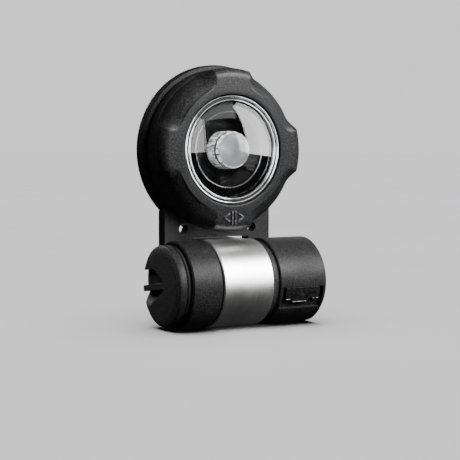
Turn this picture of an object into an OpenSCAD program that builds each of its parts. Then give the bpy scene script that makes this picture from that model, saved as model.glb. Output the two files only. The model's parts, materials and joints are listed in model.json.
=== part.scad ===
// Compact clip-on LED head lamp.  A round lamp head with a rotary switch
// bezel stands on a horizontal battery barrel.  A satin metal knuckle in the
// middle of the barrel is the tilt hinge and carries a strap clip behind it.
// X runs along the barrel, Y runs backwards, Z is up.  The origin is below
// the middle of the footprint, on the plane that the lamp stands on.

/* [Barrel] */
// Outer radius of the two barrel halves
barrel_r = 11; // [10.8:0.1:12]
// Height of the barrel's axis above the table
axis_z = 11; // [11:0.1:12]
// Width of the metal knuckle band
band_w = 14.2; // [12:0.1:15]
// Length of the left barrel half
left_len = 8.15; // [7.5:0.05:9]
// Length of the right barrel half
right_len = 14.05; // [13.5:0.05:15]
// Gap between the band and the left barrel half
left_gap = 0.55; // [0.4:0.05:1]
// Gap between the band and the right barrel half
right_gap = 1.9; // [1.5:0.05:2.5]

/* [Lamp head] */
// Height of the lens centre above the table
head_z = 44.5; // [43:0.1:46]
// Radius of the rear rim
rim_r = 21.55; // [21:0.05:23]
// Radius of the rotary bezel
bezel_r = 20.5; // [20:0.05:20.8]
// Radius of the bright ring around the lens
trim_r = 13.6; // [13.4:0.05:13.7]
// Half of the width of the flat neck
neck_half_w = 15.35; // [14.5:0.05:16]
// Distance between the two holes in the neck
neck_hole_pitch = 20; // [18:0.5:21]
// Height of the two holes in the neck above the table
neck_hole_z = 24.6; // [23.5:0.1:26]
// Diameter of the two holes in the neck
neck_hole_d = 2.5; // [2:0.1:2.8]

/* [Battery] */
// Diameter of the lithium cell
cell_d = 17; // [16:0.1:17]
// Length of the lithium cell over its contact
cell_len = 34.5; // [33:0.1:34.5]

/* [Strap clip] */
// Clear gap for the strap
strap_gap = 4.5; // [4.2:0.1:5]
// Width of the clip's front plate
clip_w = 22; // [18:0.5:24]

/* [Hidden] */
$fn = 96;
eps = 0.01;

// barrel stations along X, measured from the lens centre line
band_x = band_w / 2;
left_end = -band_x - left_gap;
left_mouth = left_end - left_len;
right_start = band_x + right_gap;
right_end = right_start + right_len;

// hinge and battery tube
band_r = barrel_r - 0.1;
band_bore_r = band_r - 1;
tube_r = 9.35;
tube_wall = 0.6;
tube_ri = tube_r - tube_wall;
hinge_clear = 0.07;
tube_from = left_mouth + 2.7;
tube_to = right_end - 2.75;
barrel_floor = right_end - 1.65;
mouth_r = 9.75;

// battery cap
collar_r = 10.1;
collar_w = 2.4;
collar_gap = 1.15;
cap_in = left_mouth - collar_gap;
cap_face = cap_in - collar_w;
skirt_r = mouth_r - 0.07;
skirt_in = tube_from - 0.4;
cap_floor = cap_in + 0.35;
cap_turn_at_rest = -8;
rib_w = 1.5;
recess_depth = 1.6;

// cell
cell_from = cap_floor + 2.0;
nub_len = 1;
cell_to = cell_from + cell_len;

// neck and head stations along Y
neck_front = 5;
neck_back = 8.3;
neck_notch_z = axis_z + band_r + 0.4;
bezel_front = -3;
bezel_back = neck_front - 0.3;
wall_back = neck_front + 1.2;
parting_y = 7.3;
rim_inner_r = rim_r - 1.65;
cover_back = 11;
cover_wall = 1.2;

// optic stations along Y
trim_front = -2.65;
trim_back = -1.3;
lens_seat = -0.8;
seal_seat = -0.2;
cup_back = 3.4;
optic_ri = 12.05;
optic_pocket_r = 12.75;
land_r = 14.13;
land_front = 1.55;
tower_r = 4.5;
optic_r = 4.35;
dome_sphere_r = 25.5;
dome_inner_r = 26;
tower_top = -1.8;
seal_r = rim_r - 0.95;
seal_w = 0.6;

// rotary bezel
bezel_bore_r = trim_r + 0.27;
bezel_land_r = land_r + 0.07;
bezel_flange_front = 1.6;
retainer_from = 0.95;
retainer_to = 1.45;
retainer_room_r = 15;
scallop_floor_r = 15.9;
scallop_depth = 0.8;
scallop_step = 0.8;
scallop_back = 3.3;
scallop_half_angle = 22.5;
scallop_corner_r = 2.2;
ball_track_r = 17.4;
ball_r = 0.8;
ball_y = neck_front + 0.35;

// screws
cover_screw_r = 17.9;
cover_screw_angles = [40, 140, 220, 320];
clip_screw_x = 3.6;
clip_screw_z = 15;

// lock slide on the right barrel
slide_angle = 20;
slide_pocket_len = 12.1;
slide_pocket_w = 5.8;
slide_pocket_floor = 9.95;
slide_centre_x = (right_start + right_end) / 2 - 0.25;

// wires
lead_x = 12.2;
lead_y = 5.9;
lead_r = 0.4;
lead_high = head_z - 14.2;

// clip
plate_y = barrel_r + 1.4;
plate_t = 1.4;
clip_leg_y = plate_y + plate_t + strap_gap;
clip_leg_t = 1.3;
clip_top = 20.8;
arm_half_w = 5.5;
flange_half_w = 6.4;

// middle of the footprint
origin_x = (right_end - rim_r) / 2;
origin_y = (clip_leg_y + clip_leg_t - barrel_r) / 2;

// ---- helpers -------------------------------------------------------------

// moves the natural axes to the origin of the part
module place() {
    translate([-origin_x, -origin_y, 0]) children();
}

// a cylinder along the barrel's axis
module rod_x(x0, x1, r) {
    translate([x0, 0, axis_z]) rotate([0, 90, 0]) cylinder(h = x1 - x0, r = r);
}

// a cone along the barrel's axis
module cone_x(x0, x1, r0, r1) {
    translate([x0, 0, axis_z]) rotate([0, 90, 0]) cylinder(h = x1 - x0, r1 = r0, r2 = r1);
}

// a tube along the barrel's axis
module pipe_x(x0, x1, ro, ri) {
    difference() {
        rod_x(x0, x1, ro);
        rod_x(x0 - 1, x1 + 1, ri);
    }
}

// one barrel half with a small chamfer at both ends
module barrel_half(x0, x1, c0, c1) {
    cone_x(x0, x0 + c0, barrel_r - c0, barrel_r);
    rod_x(x0 + c0, x1 - c1, barrel_r);
    cone_x(x1 - c1, x1, barrel_r, barrel_r - c1);
}

// a cylinder along the lens axis, or beside it
module rod_y(y0, y1, r, x = 0, z = 0) {
    translate([x, y0, head_z + z]) rotate([-90, 0, 0]) cylinder(h = y1 - y0, r = r);
}

// a solid of revolution about the lens axis from points [radius, y]
module spin_y(points) {
    translate([0, 0, head_z]) rotate([-90, 0, 0]) rotate_extrude($fn = 128) polygon(points);
}

// a pan head screw along Y, with its head at the back
module screw_y(x, z, tip_y, head_y, shank_r, head_r, head_h) {
    difference() {
        union() {
            translate([x, tip_y, z]) rotate([-90, 0, 0])
                cylinder(h = head_y - tip_y + eps, r = shank_r, $fn = 32);
            translate([x, head_y, z]) rotate([-90, 0, 0])
                cylinder(h = head_h, r = head_r, $fn = 40);
        }
        for (a = [0, 90])
            translate([x, head_y + head_h, z]) rotate([0, a, 0])
                cube([head_r * 1.2, head_h, head_r * 0.28], center = true);
    }
}

// a wire swept along a helix: centre radius goes from r0 to r1 over the length
module coil(length, turns, r0, r1, wire_r, steps, sides) {
    count = turns * steps;
    function centre(i) =
        let (t = i / count, a = 360 * turns * t, r = r0 + (r1 - r0) * t)
        [r * cos(a), r * sin(a), wire_r + (length - 2 * wire_r) * t];
    function ring_point(i, j) =
        let (a = 360 * turns * i / count, b = 360 * j / sides, c = centre(i))
        c + [wire_r * cos(b) * cos(a), wire_r * cos(b) * sin(a), wire_r * sin(b)];
    points = [for (i = [0 : count]) for (j = [0 : sides - 1]) ring_point(i, j)];
    sides_faces = [
        for (i = [0 : count - 1]) for (j = [0 : sides - 1])
            let (k = (j + 1) % sides)
            [i * sides + j, (i + 1) * sides + j, (i + 1) * sides + k, i * sides + k]
    ];
    first_face = [for (j = [0 : sides - 1]) j];
    last_face = [for (j = [sides - 1 : -1 : 0]) count * sides + j];
    polyhedron(points, concat(sides_faces, [first_face, last_face]), convexity = 6);
}

// ---- bracket: knuckle and strap clip -------------------------------------

module knuckle_band() {
    place() color([0.78, 0.78, 0.79]) difference() {
        union() {
            cone_x(-band_x, -band_x + 0.25, band_r - 0.25, band_r);
            rod_x(-band_x + 0.25, band_x - 0.25, band_r);
            cone_x(band_x - 0.25, band_x, band_r, band_r - 0.25);
            // arm that leaves the top of the band towards the clip
            translate([-arm_half_w, 0, axis_z + band_r - 1.5])
                cube([2 * arm_half_w, plate_y, 1.5]);
            // flange that the clip is screwed to
            translate([-flange_half_w, plate_y - 1.6, 6])
                cube([2 * flange_half_w, 1.6, axis_z + band_r - 6]);
        }
        rod_x(-band_x - 1, band_x + 1, band_bore_r);
        for (x = [-clip_screw_x, clip_screw_x])
            translate([x, plate_y - 3, clip_screw_z]) rotate([-90, 0, 0])
                cylinder(h = 6, r = 0.85, $fn = 32);
    }
}

module knuckle_bush() {
    place() color([0.92, 0.91, 0.86])
        pipe_x(-band_x, band_x, band_bore_r, tube_r + hinge_clear);
}

module strap_clip() {
    leg_w = clip_w - 6;
    lip = 1.1;
    place() color([0.08, 0.08, 0.09]) difference() {
        union() {
            // front plate, which is also the rear foot
            translate([-clip_w / 2, plate_y, 0]) cube([clip_w, plate_t, clip_top]);
            // bridge over the strap
            translate([-leg_w / 2, plate_y, clip_top - 1.4])
                cube([leg_w, plate_t + strap_gap + clip_leg_t, 1.4]);
            // spring leg with a lip that keeps the strap in
            translate([-leg_w / 2, clip_leg_y, 1.2])
                cube([leg_w, clip_leg_t, clip_top - 1.2]);
            translate([-leg_w / 2, clip_leg_y - lip, 1.2]) cube([leg_w, lip + eps, 1.2]);
            // ribs on the outside of the leg
            for (z = [5 : 2.4 : 15])
                translate([-leg_w / 2 + 2, clip_leg_y + clip_leg_t - 0.3, z])
                    cube([leg_w - 4, 0.3, 1.1]);
        }
        for (x = [-clip_screw_x, clip_screw_x]) {
            translate([x, plate_y - 1, clip_screw_z]) rotate([-90, 0, 0])
                cylinder(h = plate_t + 2, r = 1.05, $fn = 32);
            translate([x, plate_y + 0.6, clip_screw_z]) rotate([-90, 0, 0])
                cylinder(h = 2, r = 1.95, $fn = 40);
            // access holes for the screwdriver
            translate([x, clip_leg_y - 1, clip_screw_z]) rotate([-90, 0, 0])
                cylinder(h = clip_leg_t + 2, r = 1.6, $fn = 40);
        }
    }
}

module clip_screws() {
    place() color([0.55, 0.55, 0.57])
        for (x = [-clip_screw_x, clip_screw_x])
            screw_y(x, clip_screw_z, plate_y - 1.5, plate_y + 0.62, 0.84, 1.8, 0.7);
}

// ---- lamp body: yoke housing and rear cover ------------------------------

module neck_block() {
    difference() {
        translate([-neck_half_w, neck_front, axis_z + 4])
            cube([2 * neck_half_w, neck_back - neck_front, head_z - axis_z - 12]);
        // room for the rear cover and for the optic
        rod_y(parting_y, neck_back + 1, rim_r + 0.05);
        rod_y(neck_front - 1, wall_back + eps, optic_ri);
        // room for the knuckle band and its arm
        translate([left_end, neck_front - 1, axis_z])
            cube([right_start - left_end, 5, neck_notch_z - axis_z]);
    }
}

module head_shell() {
    spin_y([
        [optic_ri, wall_back], [optic_ri, seal_seat], [optic_pocket_r, seal_seat],
        [optic_pocket_r, trim_back], [trim_r, trim_back], [trim_r, retainer_from - 0.05],
        [trim_r - 0.5, retainer_from - 0.05], [trim_r - 0.5, retainer_to + 0.03],
        [trim_r, retainer_to + 0.03], [trim_r, land_front], [land_r, land_front],
        [land_r, neck_front], [rim_r - 1, neck_front], [rim_r - 0.3, neck_front + 0.3],
        [rim_r, neck_front + 1], [rim_r, parting_y - 0.22], [rim_r - 0.22, parting_y],
        [rim_inner_r, parting_y], [rim_inner_r, wall_back]
    ]);
}

module slide_pocket() {
    translate([slide_centre_x, 0, axis_z]) rotate([slide_angle, 0, 0])
        translate([-slide_pocket_len / 2, -barrel_r - 1, -slide_pocket_w / 2])
            cube([slide_pocket_len, barrel_r + 1 - slide_pocket_floor, slide_pocket_w]);
}

module yoke_housing() {
    place() color([0.07, 0.07, 0.08]) difference() {
        union() {
            barrel_half(left_mouth, left_end, 0.35, 0.2);
            barrel_half(right_start, right_end, 0.2, 0.7);
            neck_block();
            head_shell();
            // posts for the cover screws
            for (a = cover_screw_angles)
                rod_y(wall_back - eps, parting_y + 0.7, 1.9,
                      cover_screw_r * cos(a), cover_screw_r * sin(a));
            // pockets for the detent balls and springs
            for (s = [-1, 1]) rod_y(wall_back - eps, 8.7, 1.5, s * ball_track_r, 0);
        }
        // battery tube seat, and the wider mouth for the cap
        rod_x(tube_from, barrel_floor, tube_r);
        rod_x(left_mouth - 1, tube_from, mouth_r);
        slide_pocket();
        // groove for the cover's seal
        difference() {
            rod_y(parting_y - 0.4, parting_y + 0.1, seal_r + seal_w / 2);
            rod_y(parting_y - 1, parting_y + 1, seal_r - seal_w / 2);
        }
        // inside of the head, behind the front wall
        difference() {
            rod_y(wall_back, cover_back, rim_inner_r);
            for (a = cover_screw_angles)
                rod_y(wall_back - eps, parting_y + 0.7, 1.9,
                      cover_screw_r * cos(a), cover_screw_r * sin(a));
            for (s = [-1, 1]) rod_y(wall_back - eps, 8.7, 1.5, s * ball_track_r, 0);
        }
        for (a = cover_screw_angles)
            rod_y(wall_back, parting_y + 1, 0.76, cover_screw_r * cos(a), cover_screw_r * sin(a));
        for (s = [-1, 1]) rod_y(neck_front - 1, 8.2, ball_r + 0.05, s * ball_track_r, 0);
        // two through holes in the neck
        for (s = [-1, 1])
            translate([s * neck_hole_pitch / 2, neck_front - 1, neck_hole_z]) rotate([-90, 0, 0])
                cylinder(h = 6, r = neck_hole_d / 2);
        // wire channels from the battery barrel up into the head
        for (s = [-1, 1]) {
            translate([s * lead_x, lead_y, axis_z + 4])
                cylinder(h = lead_high - axis_z - 3, r = lead_r + 0.2, $fn = 32);
            lead_bend(s, 1.8, lead_r + 0.15);
        }
    }
}

module rear_cover() {
    place() color([0.07, 0.07, 0.08]) difference() {
        union() {
            spin_y([
                [0, cover_back - cover_wall], [rim_inner_r - 1.1, cover_back - cover_wall],
                [rim_inner_r - 1.1, parting_y - 0.9], [rim_inner_r - 0.05, parting_y - 0.9],
                [rim_inner_r - 0.05, parting_y], [rim_r - 0.22, parting_y],
                [rim_r, parting_y + 0.22], [rim_r, parting_y + 0.7],
                [rim_r - 0.35, parting_y + 1.6], [rim_r - 1.1, parting_y + 2.5],
                [rim_r - 2.1, parting_y + 3.1], [rim_r - 3.4, parting_y + 3.5],
                [rim_r - 4.6, cover_back], [0, cover_back]
            ]);
            for (a = cover_screw_angles)
                rod_y(parting_y + 0.75, cover_back - cover_wall + eps, 1.9,
                      cover_screw_r * cos(a), cover_screw_r * sin(a));
        }
        // shallow round panel on the back
        difference() {
            rod_y(cover_back - 0.35, cover_back + 1, 14.2);
            rod_y(cover_back - 1, cover_back + 2, 12.6);
        }
        for (a = cover_screw_angles) {
            // room for the posts of the housing, then the screw's shank and head
            rod_y(parting_y - 2, parting_y + 0.75, 1.95,
                  cover_screw_r * cos(a), cover_screw_r * sin(a));
            rod_y(parting_y, cover_back + 1, 0.85,
                  cover_screw_r * cos(a), cover_screw_r * sin(a));
            rod_y(cover_back - 1.5, cover_back + 1, 1.45,
                  cover_screw_r * cos(a), cover_screw_r * sin(a));
        }
        for (s = [-1, 1]) {
            // room for the detent pockets and the neck holes
            rod_y(parting_y - 2, 8.8, 1.6, s * ball_track_r, 0);
            rod_y(parting_y - 1, cover_back, neck_hole_d / 2 + 0.25,
                  s * neck_hole_pitch / 2, neck_hole_z - head_z);
        }
    }
}

module cover_seal() {
    place() color([0.12, 0.12, 0.12]) spin_y([
        [seal_r - seal_w / 2 + 0.03, parting_y - 0.37], [seal_r + seal_w / 2 - 0.03, parting_y - 0.37],
        [seal_r + seal_w / 2 - 0.03, parting_y], [seal_r - seal_w / 2 + 0.03, parting_y]
    ]);
}

module cover_screws() {
    place() color([0.5, 0.5, 0.52])
        for (a = cover_screw_angles)
            screw_y(cover_screw_r * cos(a), head_z + cover_screw_r * sin(a),
                    wall_back + 0.1, cover_back - 1.5, 0.74, 1.35, 0.8);
}

// ---- lamp body: battery barrel -------------------------------------------

module battery_tube() {
    place() color([0.7, 0.71, 0.72]) pipe_x(tube_from, tube_to, tube_r, tube_ri);
}

module lithium_cell() {
    place() color([0.85, 0.85, 0.8]) union() {
        rod_x(cell_from, cell_to - nub_len, cell_d / 2);
        rod_x(cell_to - nub_len - eps, cell_to, 3);
    }
}

module positive_contact() {
    place() color([0.85, 0.7, 0.35]) union() {
        rod_x(cell_to, cell_to + 0.45, 2.6);
        rod_x(cell_to + 0.44, cell_to + 0.9, 1.2);
    }
}

module contact_carrier() {
    place() color([0.15, 0.15, 0.16]) difference() {
        rod_x(cell_to + 0.45, barrel_floor, tube_r - 0.02);
        rod_x(cell_to, cell_to + 0.9, 1.25);
    }
}

module friction_ring() {
    place() color([0.13, 0.13, 0.14])
        pipe_x(band_x + 0.12, right_start, barrel_r - 0.75, tube_r + 0.02);
}

module thrust_washer() {
    place() color([0.1, 0.1, 0.1])
        pipe_x(left_end, -band_x - 0.12, barrel_r - 0.95, tube_r + 0.02);
}

// the wire's bend and its slanting end towards the driver board
module lead_bend(s, length, r) {
    translate([s * lead_x, lead_y, lead_high]) {
        sphere(r = r, $fn = 24);
        rotate([0, -s * 40, 0]) rotate([-30, 0, 0]) cylinder(h = length, r = r, $fn = 24);
    }
}

// wire from the barrel up the neck, then back towards the driver board
module lead(s) {
    lead_low = axis_z + sqrt(pow(tube_r, 2) - pow(lead_y - lead_r, 2)) + 0.02;
    translate([s * lead_x, lead_y, lead_low])
        cylinder(h = lead_high - lead_low, r = lead_r, $fn = 24);
    lead_bend(s, 3.9, lead_r);
}

module positive_lead() {
    place() color([0.75, 0.12, 0.1]) lead(1);
}

module negative_lead() {
    place() color([0.1, 0.1, 0.1]) lead(-1);
}

// ---- lamp body: optics and electronics ------------------------------------

module heat_sink() {
    place() color([0.8, 0.81, 0.82]) difference() {
        union() {
            rod_y(cup_back + 0.1, wall_back - 0.1, optic_ri - 0.05);
            rod_y(tower_top, cup_back + 0.2, tower_r);
        }
        // flutes around the tower
        for (a = [0 : 30 : 330])
            rod_y(-2.5, 1.8, 0.45, (tower_r + 0.15) * cos(a), (tower_r + 0.15) * sin(a));
        // wire hole
        rod_y(-3, wall_back + 1, 0.7, 0, -2.6);
    }
}

module led_board() {
    place() color([0.9, 0.9, 0.88]) rod_y(tower_top - 0.5, tower_top, optic_r);
}

module led_emitter() {
    place() color([0.95, 0.9, 0.55])
        translate([-1.75, tower_top - 0.9, head_z - 1.75]) cube([3.5, 0.4, 3.5]);
}

module led_dome() {
    base = tower_top - 0.5;
    place() color([0.9, 0.92, 0.95, 0.6]) difference() {
        spin_y([
            [0, base - 1.2], [1.3, base - 1.15], [2.6, base - 1.0], [3.6, base - 0.75],
            [optic_r, base - 0.4], [optic_r, base], [0, base]
        ]);
        translate([-1.77, base - 0.42, head_z - 1.77]) cube([3.54, 1, 3.54]);
    }
}

module driver_board() {
    place() color([0.05, 0.3, 0.14]) rod_y(8.2, 9.2, 15.4);
}

module driver_parts() {
    place() color([0.2, 0.2, 0.22]) union() {
        // controller, coil, two capacitors and the two switch sensors
        translate([-2.5, 7.1, head_z - 2.5]) cube([5, 1.1, 5]);
        rod_y(6.7, 8.2, 2.4, 8, 5);
        for (x = [-9, -5.5]) rod_y(6.8, 8.2, 1.1, x, 7);
        for (z = [-13.4, 11.9]) translate([-1, 7, head_z + z]) cube([2, 1.2, 1.5]);
        for (x = [-11, -8.6, -6.2]) translate([x, 7.5, head_z - 8]) cube([1.2, 0.7, 2]);
    }
}

module reflector_cup() {
    place() color([0.03, 0.03, 0.035]) spin_y([
        [tower_r + 0.35, cup_back], [tower_r + 0.35, 2.3], [6.2, 1.9], [8.0, 1.0],
        [9.2, 0.2], [9.5, -0.1], [11.2, -0.15], [11.2, 0.15], [optic_ri - 0.05, 0.3],
        [optic_ri - 0.05, cup_back]
    ]);
}

// points of an arc of the dome from the edge to the axis
function dome_arc(edge_r, edge_y, radius, count) =
    let (depth = sqrt(radius * radius - edge_r * edge_r))
    [for (i = [0 : count])
        let (r = edge_r * (1 - i / count))
        [r, edge_y - (sqrt(radius * radius - r * r) - depth)]];

module lens() {
    inner = dome_arc(11.3, -1.25, dome_inner_r, 14);
    outer = dome_arc(12.1, -2.25, dome_sphere_r, 14);
    back_outline = [for (i = [len(outer) - 1 : -1 : 0]) outer[i]];
    place() color([0.85, 0.9, 0.95, 0.35]) spin_y(concat(
        inner,
        back_outline,
        [[12.1, -2.0], [optic_pocket_r - 0.05, -2.0], [optic_pocket_r - 0.05, lens_seat],
         [11.3, lens_seat]]
    ));
}

module lens_seal() {
    place() color([0.15, 0.15, 0.15]) spin_y([
        [optic_ri + 0.05, lens_seat], [optic_pocket_r - 0.05, lens_seat],
        [optic_pocket_r - 0.05, seal_seat], [optic_ri + 0.05, seal_seat]
    ]);
}

module trim_ring() {
    place() color([0.85, 0.86, 0.88]) spin_y([
        [12.15, -2.45], [12.3, -2.55], [12.6, -2.55], [12.7, -2.4], [12.85, -2.4],
        [12.98, trim_front + 0.05], [13.1, trim_front], [trim_r - 0.2, trim_front],
        [trim_r, trim_front + 0.2], [trim_r, trim_back], [optic_pocket_r, trim_back],
        [optic_pocket_r, -2.0], [12.15, -2.0]
    ]);
}

module bezel_retainer() {
    place() color([0.6, 0.6, 0.62]) difference() {
        spin_y([
            [trim_r - 0.48, retainer_from], [14.6, retainer_from],
            [14.6, retainer_to], [trim_r - 0.48, retainer_to]
        ]);
        // gap of the snap ring
        translate([-1.5, -1, head_z + 10]) cube([3, 4, 8]);
    }
}

module detent_balls() {
    place() color([0.8, 0.8, 0.82])
        for (s = [-1, 1])
            translate([s * ball_track_r, ball_y, head_z]) sphere(r = ball_r, $fn = 32);
}

module detent_springs() {
    spring_len = 8.2 - ball_y - ball_r;
    place() color([0.7, 0.7, 0.72])
        for (s = [-1, 1])
            translate([s * ball_track_r, ball_y + ball_r, head_z]) rotate([-90, 0, 0])
                coil(spring_len, 4, 0.6, 0.6, 0.12, 14, 6);
}

// ---- rotary bezel ---------------------------------------------------------

// a ring sector in the front view, from angle -a to a, drawn as a polygon fan
module sector(r0, r1, a) {
    reach = r1 / cos(a / 2) + 1;
    difference() {
        intersection() {
            circle(r = r1);
            polygon([[0, 0], [reach * cos(a), -reach * sin(a)], [reach, 0],
                     [reach * cos(a), reach * sin(a)]]);
        }
        circle(r = r0);
    }
}

// outline of one finger scallop in the front view, with rounded inner corners
module scallop_outline() {
    corner_c = scallop_floor_r + scallop_corner_r;
    corner_a = scallop_half_angle;
    wide_a = corner_a + asin(scallop_corner_r / corner_c);
    sector(corner_c, 30, wide_a);
    sector(scallop_floor_r, corner_c + 1, corner_a);
    for (s = [-1, 1])
        rotate(s * corner_a) translate([corner_c, 0]) circle(r = scallop_corner_r);
}

// what stays below the scallops: a flank that slants from the front face to the side
module scallop_floor() {
    front = bezel_front + scallop_step;
    side = bezel_r - scallop_depth;
    rotate([-90, 0, 0]) rotate_extrude($fn = 128) polygon([
        [0, front], [scallop_floor_r + 0.7, front], [scallop_floor_r + 1.6, front + 0.6],
        [side - 1.1, front + 2.2], [side - 0.4, front + 3.1], [side, front + 4.2],
        [side, bezel_back + 1], [0, bezel_back + 1]
    ]);
}

// the hollow that one finger scallop cuts out of the bezel
module scallop_cutter() {
    difference() {
        translate([0, bezel_front - 1, 0]) rotate([-90, 0, 0])
            linear_extrude(height = scallop_back + 1 - bezel_front) scallop_outline();
        scallop_floor();
    }
}

// the two-way arrow that marks the switch's middle position
module index_mark() {
    mark_r = 16.9;
    relief = 0.3;
    translate([0, bezel_front + eps, head_z - mark_r]) rotate([90, 0, 0])
        linear_extrude(height = relief) {
            square([1.3, 3.3], center = true);
            for (s = [-1, 1])
                polygon([[s * 1.1, 0.9], [s * 2.7, 0.1], [s * 1.1, -0.8]]);
        }
}

module bezel_ring() {
    place() color([0.06, 0.06, 0.07]) union() {
        difference() {
            spin_y([
                [bezel_bore_r, bezel_front + 0.15], [bezel_bore_r + 0.15, bezel_front],
                [bezel_r - 2.4, bezel_front], [bezel_r - 1.45, bezel_front + 0.17],
                [bezel_r - 0.72, bezel_front + 0.62], [bezel_r - 0.2, bezel_front + 1.3],
                [bezel_r, bezel_front + 2.2], [bezel_r - 0.15, bezel_back - 0.3],
                [bezel_r - 0.45, bezel_back], [bezel_land_r, bezel_back],
                [bezel_land_r, bezel_flange_front], [retainer_room_r, bezel_flange_front],
                [retainer_room_r, trim_back - 0.3], [bezel_bore_r, trim_back - 0.3]
            ]);
            translate([0, 0, head_z])
                for (a = [45 : 90 : 315]) rotate([0, a, 0]) scallop_cutter();
            // pockets for the magnets
            for (s = [-1, 1]) rod_y(3, bezel_back + 1, 1.55, 0, s * 17.5);
            // shallow track for the detent balls
            translate([0, ball_y, head_z]) rotate([-90, 0, 0])
                rotate_extrude($fn = 96) translate([ball_track_r, 0]) circle(r = ball_r + 0.1, $fn = 24);
        }
        index_mark();
    }
}

module bezel_magnets() {
    place() color([0.6, 0.6, 0.62])
        for (s = [-1, 1]) rod_y(3.05, bezel_back - 0.15, 1.5, 0, s * 17.5);
}

// ---- battery cap ----------------------------------------------------------

// outline of the finger recess in the cap's face, narrow at its inner end and open to the rim
module recess_outline(half_h) {
    wide_at = 4.6;
    hull() {
        translate([wide_at, 0]) circle(r = half_h);
        translate([-1, 0]) circle(r = 0.9);
    }
    translate([wide_at, -half_h]) square([12, 2 * half_h]);
}

module battery_cap() {
    half_h = 4.5;
    place() color([0.07, 0.07, 0.08]) difference() {
        union() {
            cone_x(cap_face, cap_face + 0.35, collar_r - 0.35, collar_r);
            rod_x(cap_face + 0.35, cap_in - 0.15, collar_r);
            cone_x(cap_in - 0.15, cap_in, collar_r, collar_r - 0.15);
            rod_x(cap_in - eps, skirt_in, skirt_r);
        }
        // hollow inside for the contact and the spring
        rod_x(cap_floor, skirt_in + 1, tube_ri);
        // groove for the O-ring
        difference() {
            rod_x(cap_in + 0.08, left_mouth - 0.02, collar_r + 1);
            rod_x(cap_in - 1, left_mouth + 1, 9.1);
        }
        // finger recess on both sides of a rib
        translate([0, 0, axis_z]) rotate([cap_turn_at_rest, 0, 0]) difference() {
            translate([cap_face - 1, 0, 0]) rotate([90, 0, 90])
                linear_extrude(height = recess_depth + 1) recess_outline(half_h);
            translate([cap_face - 2, -2.5, -rib_w / 2]) cube([recess_depth + 4, 15, rib_w]);
        }
    }
}

module cap_seal() {
    place() color([0.1, 0.1, 0.1]) translate([cap_in + collar_gap / 2, 0, axis_z])
        rotate([0, 90, 0]) rotate_extrude($fn = 96) translate([9.62, 0]) circle(r = 0.45, $fn = 32);
}

module cap_contact() {
    place() color([0.8, 0.68, 0.35]) rod_x(cap_floor, cap_floor + 0.3, 7.6);
}

module negative_spring() {
    place() color([0.8, 0.8, 0.78]) translate([cap_floor + 0.3, 0, axis_z])
        rotate([0, 90, 0]) coil(cell_from - cap_floor - 0.3, 3, 5.4, 2.6, 0.3, 26, 8);
}

// ---- lock slide -----------------------------------------------------------

module lock_slide() {
    slide_len = slide_pocket_len - 2.2;
    plate_low = -0.4;
    plate_high = slide_pocket_w / 2 - 0.15;
    tab_low = -1.15;
    floor_gap = 0.06;
    reach = barrel_r - slide_pocket_floor - floor_gap;
    place() color([0.09, 0.09, 0.1]) translate([slide_centre_x, 0, axis_z])
        rotate([slide_angle, 0, 0]) intersection() {
            union() {
                translate([-slide_len / 2, -barrel_r, plate_low])
                    cube([slide_len, reach, plate_high - plate_low]);
                // thumb tab below the middle of the plate
                translate([-2.9, -barrel_r, tab_low]) cube([4.8, reach, plate_low - tab_low + 1]);
            }
            translate([-slide_len, 0, 0]) rotate([0, 90, 0])
                cylinder(h = 2 * slide_len, r = barrel_r - 0.12);
        }
}

// ---- all nodes ------------------------------------------------------------

knuckle_band();
knuckle_bush();
strap_clip();
clip_screws();
yoke_housing();
rear_cover();
cover_seal();
cover_screws();
battery_tube();
lithium_cell();
positive_contact();
contact_carrier();
friction_ring();
thrust_washer();
positive_lead();
negative_lead();
heat_sink();
led_board();
led_emitter();
led_dome();
driver_board();
driver_parts();
reflector_cup();
lens();
lens_seal();
trim_ring();
bezel_retainer();
detent_balls();
detent_springs();
bezel_ring();
bezel_magnets();
battery_cap();
cap_seal();
cap_contact();
negative_spring();
lock_slide();
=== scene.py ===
import json
import math

import bmesh
import bpy
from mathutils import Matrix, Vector

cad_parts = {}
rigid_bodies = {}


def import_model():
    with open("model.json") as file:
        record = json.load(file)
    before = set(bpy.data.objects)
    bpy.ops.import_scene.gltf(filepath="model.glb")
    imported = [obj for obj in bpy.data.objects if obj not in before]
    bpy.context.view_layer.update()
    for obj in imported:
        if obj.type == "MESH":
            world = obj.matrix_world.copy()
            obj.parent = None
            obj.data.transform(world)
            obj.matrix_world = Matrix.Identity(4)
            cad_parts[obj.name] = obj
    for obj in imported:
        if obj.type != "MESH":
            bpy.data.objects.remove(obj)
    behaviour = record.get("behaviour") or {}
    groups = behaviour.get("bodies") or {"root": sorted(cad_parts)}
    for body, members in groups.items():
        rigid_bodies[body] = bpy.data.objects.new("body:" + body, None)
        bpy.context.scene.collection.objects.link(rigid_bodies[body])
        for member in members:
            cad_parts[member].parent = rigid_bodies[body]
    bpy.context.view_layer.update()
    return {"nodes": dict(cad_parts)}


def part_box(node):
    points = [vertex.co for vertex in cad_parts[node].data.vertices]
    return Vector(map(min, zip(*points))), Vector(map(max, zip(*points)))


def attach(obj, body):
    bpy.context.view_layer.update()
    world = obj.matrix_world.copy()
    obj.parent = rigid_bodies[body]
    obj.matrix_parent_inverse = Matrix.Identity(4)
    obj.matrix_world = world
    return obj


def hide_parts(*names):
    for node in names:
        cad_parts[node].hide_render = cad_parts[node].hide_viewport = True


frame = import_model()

nodes = frame["nodes"]

MM = 0.001

# ---- places, all taken from the CAD boxes ---------------------------------------------

lens_low, lens_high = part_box("lens")
tube_low, tube_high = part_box("battery_tube")
bezel_low, bezel_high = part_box("bezel_ring")
cap_low, cap_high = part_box("battery_cap")
trim_low, trim_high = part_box("trim_ring")
slide_low, slide_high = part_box("lock_slide")

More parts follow.
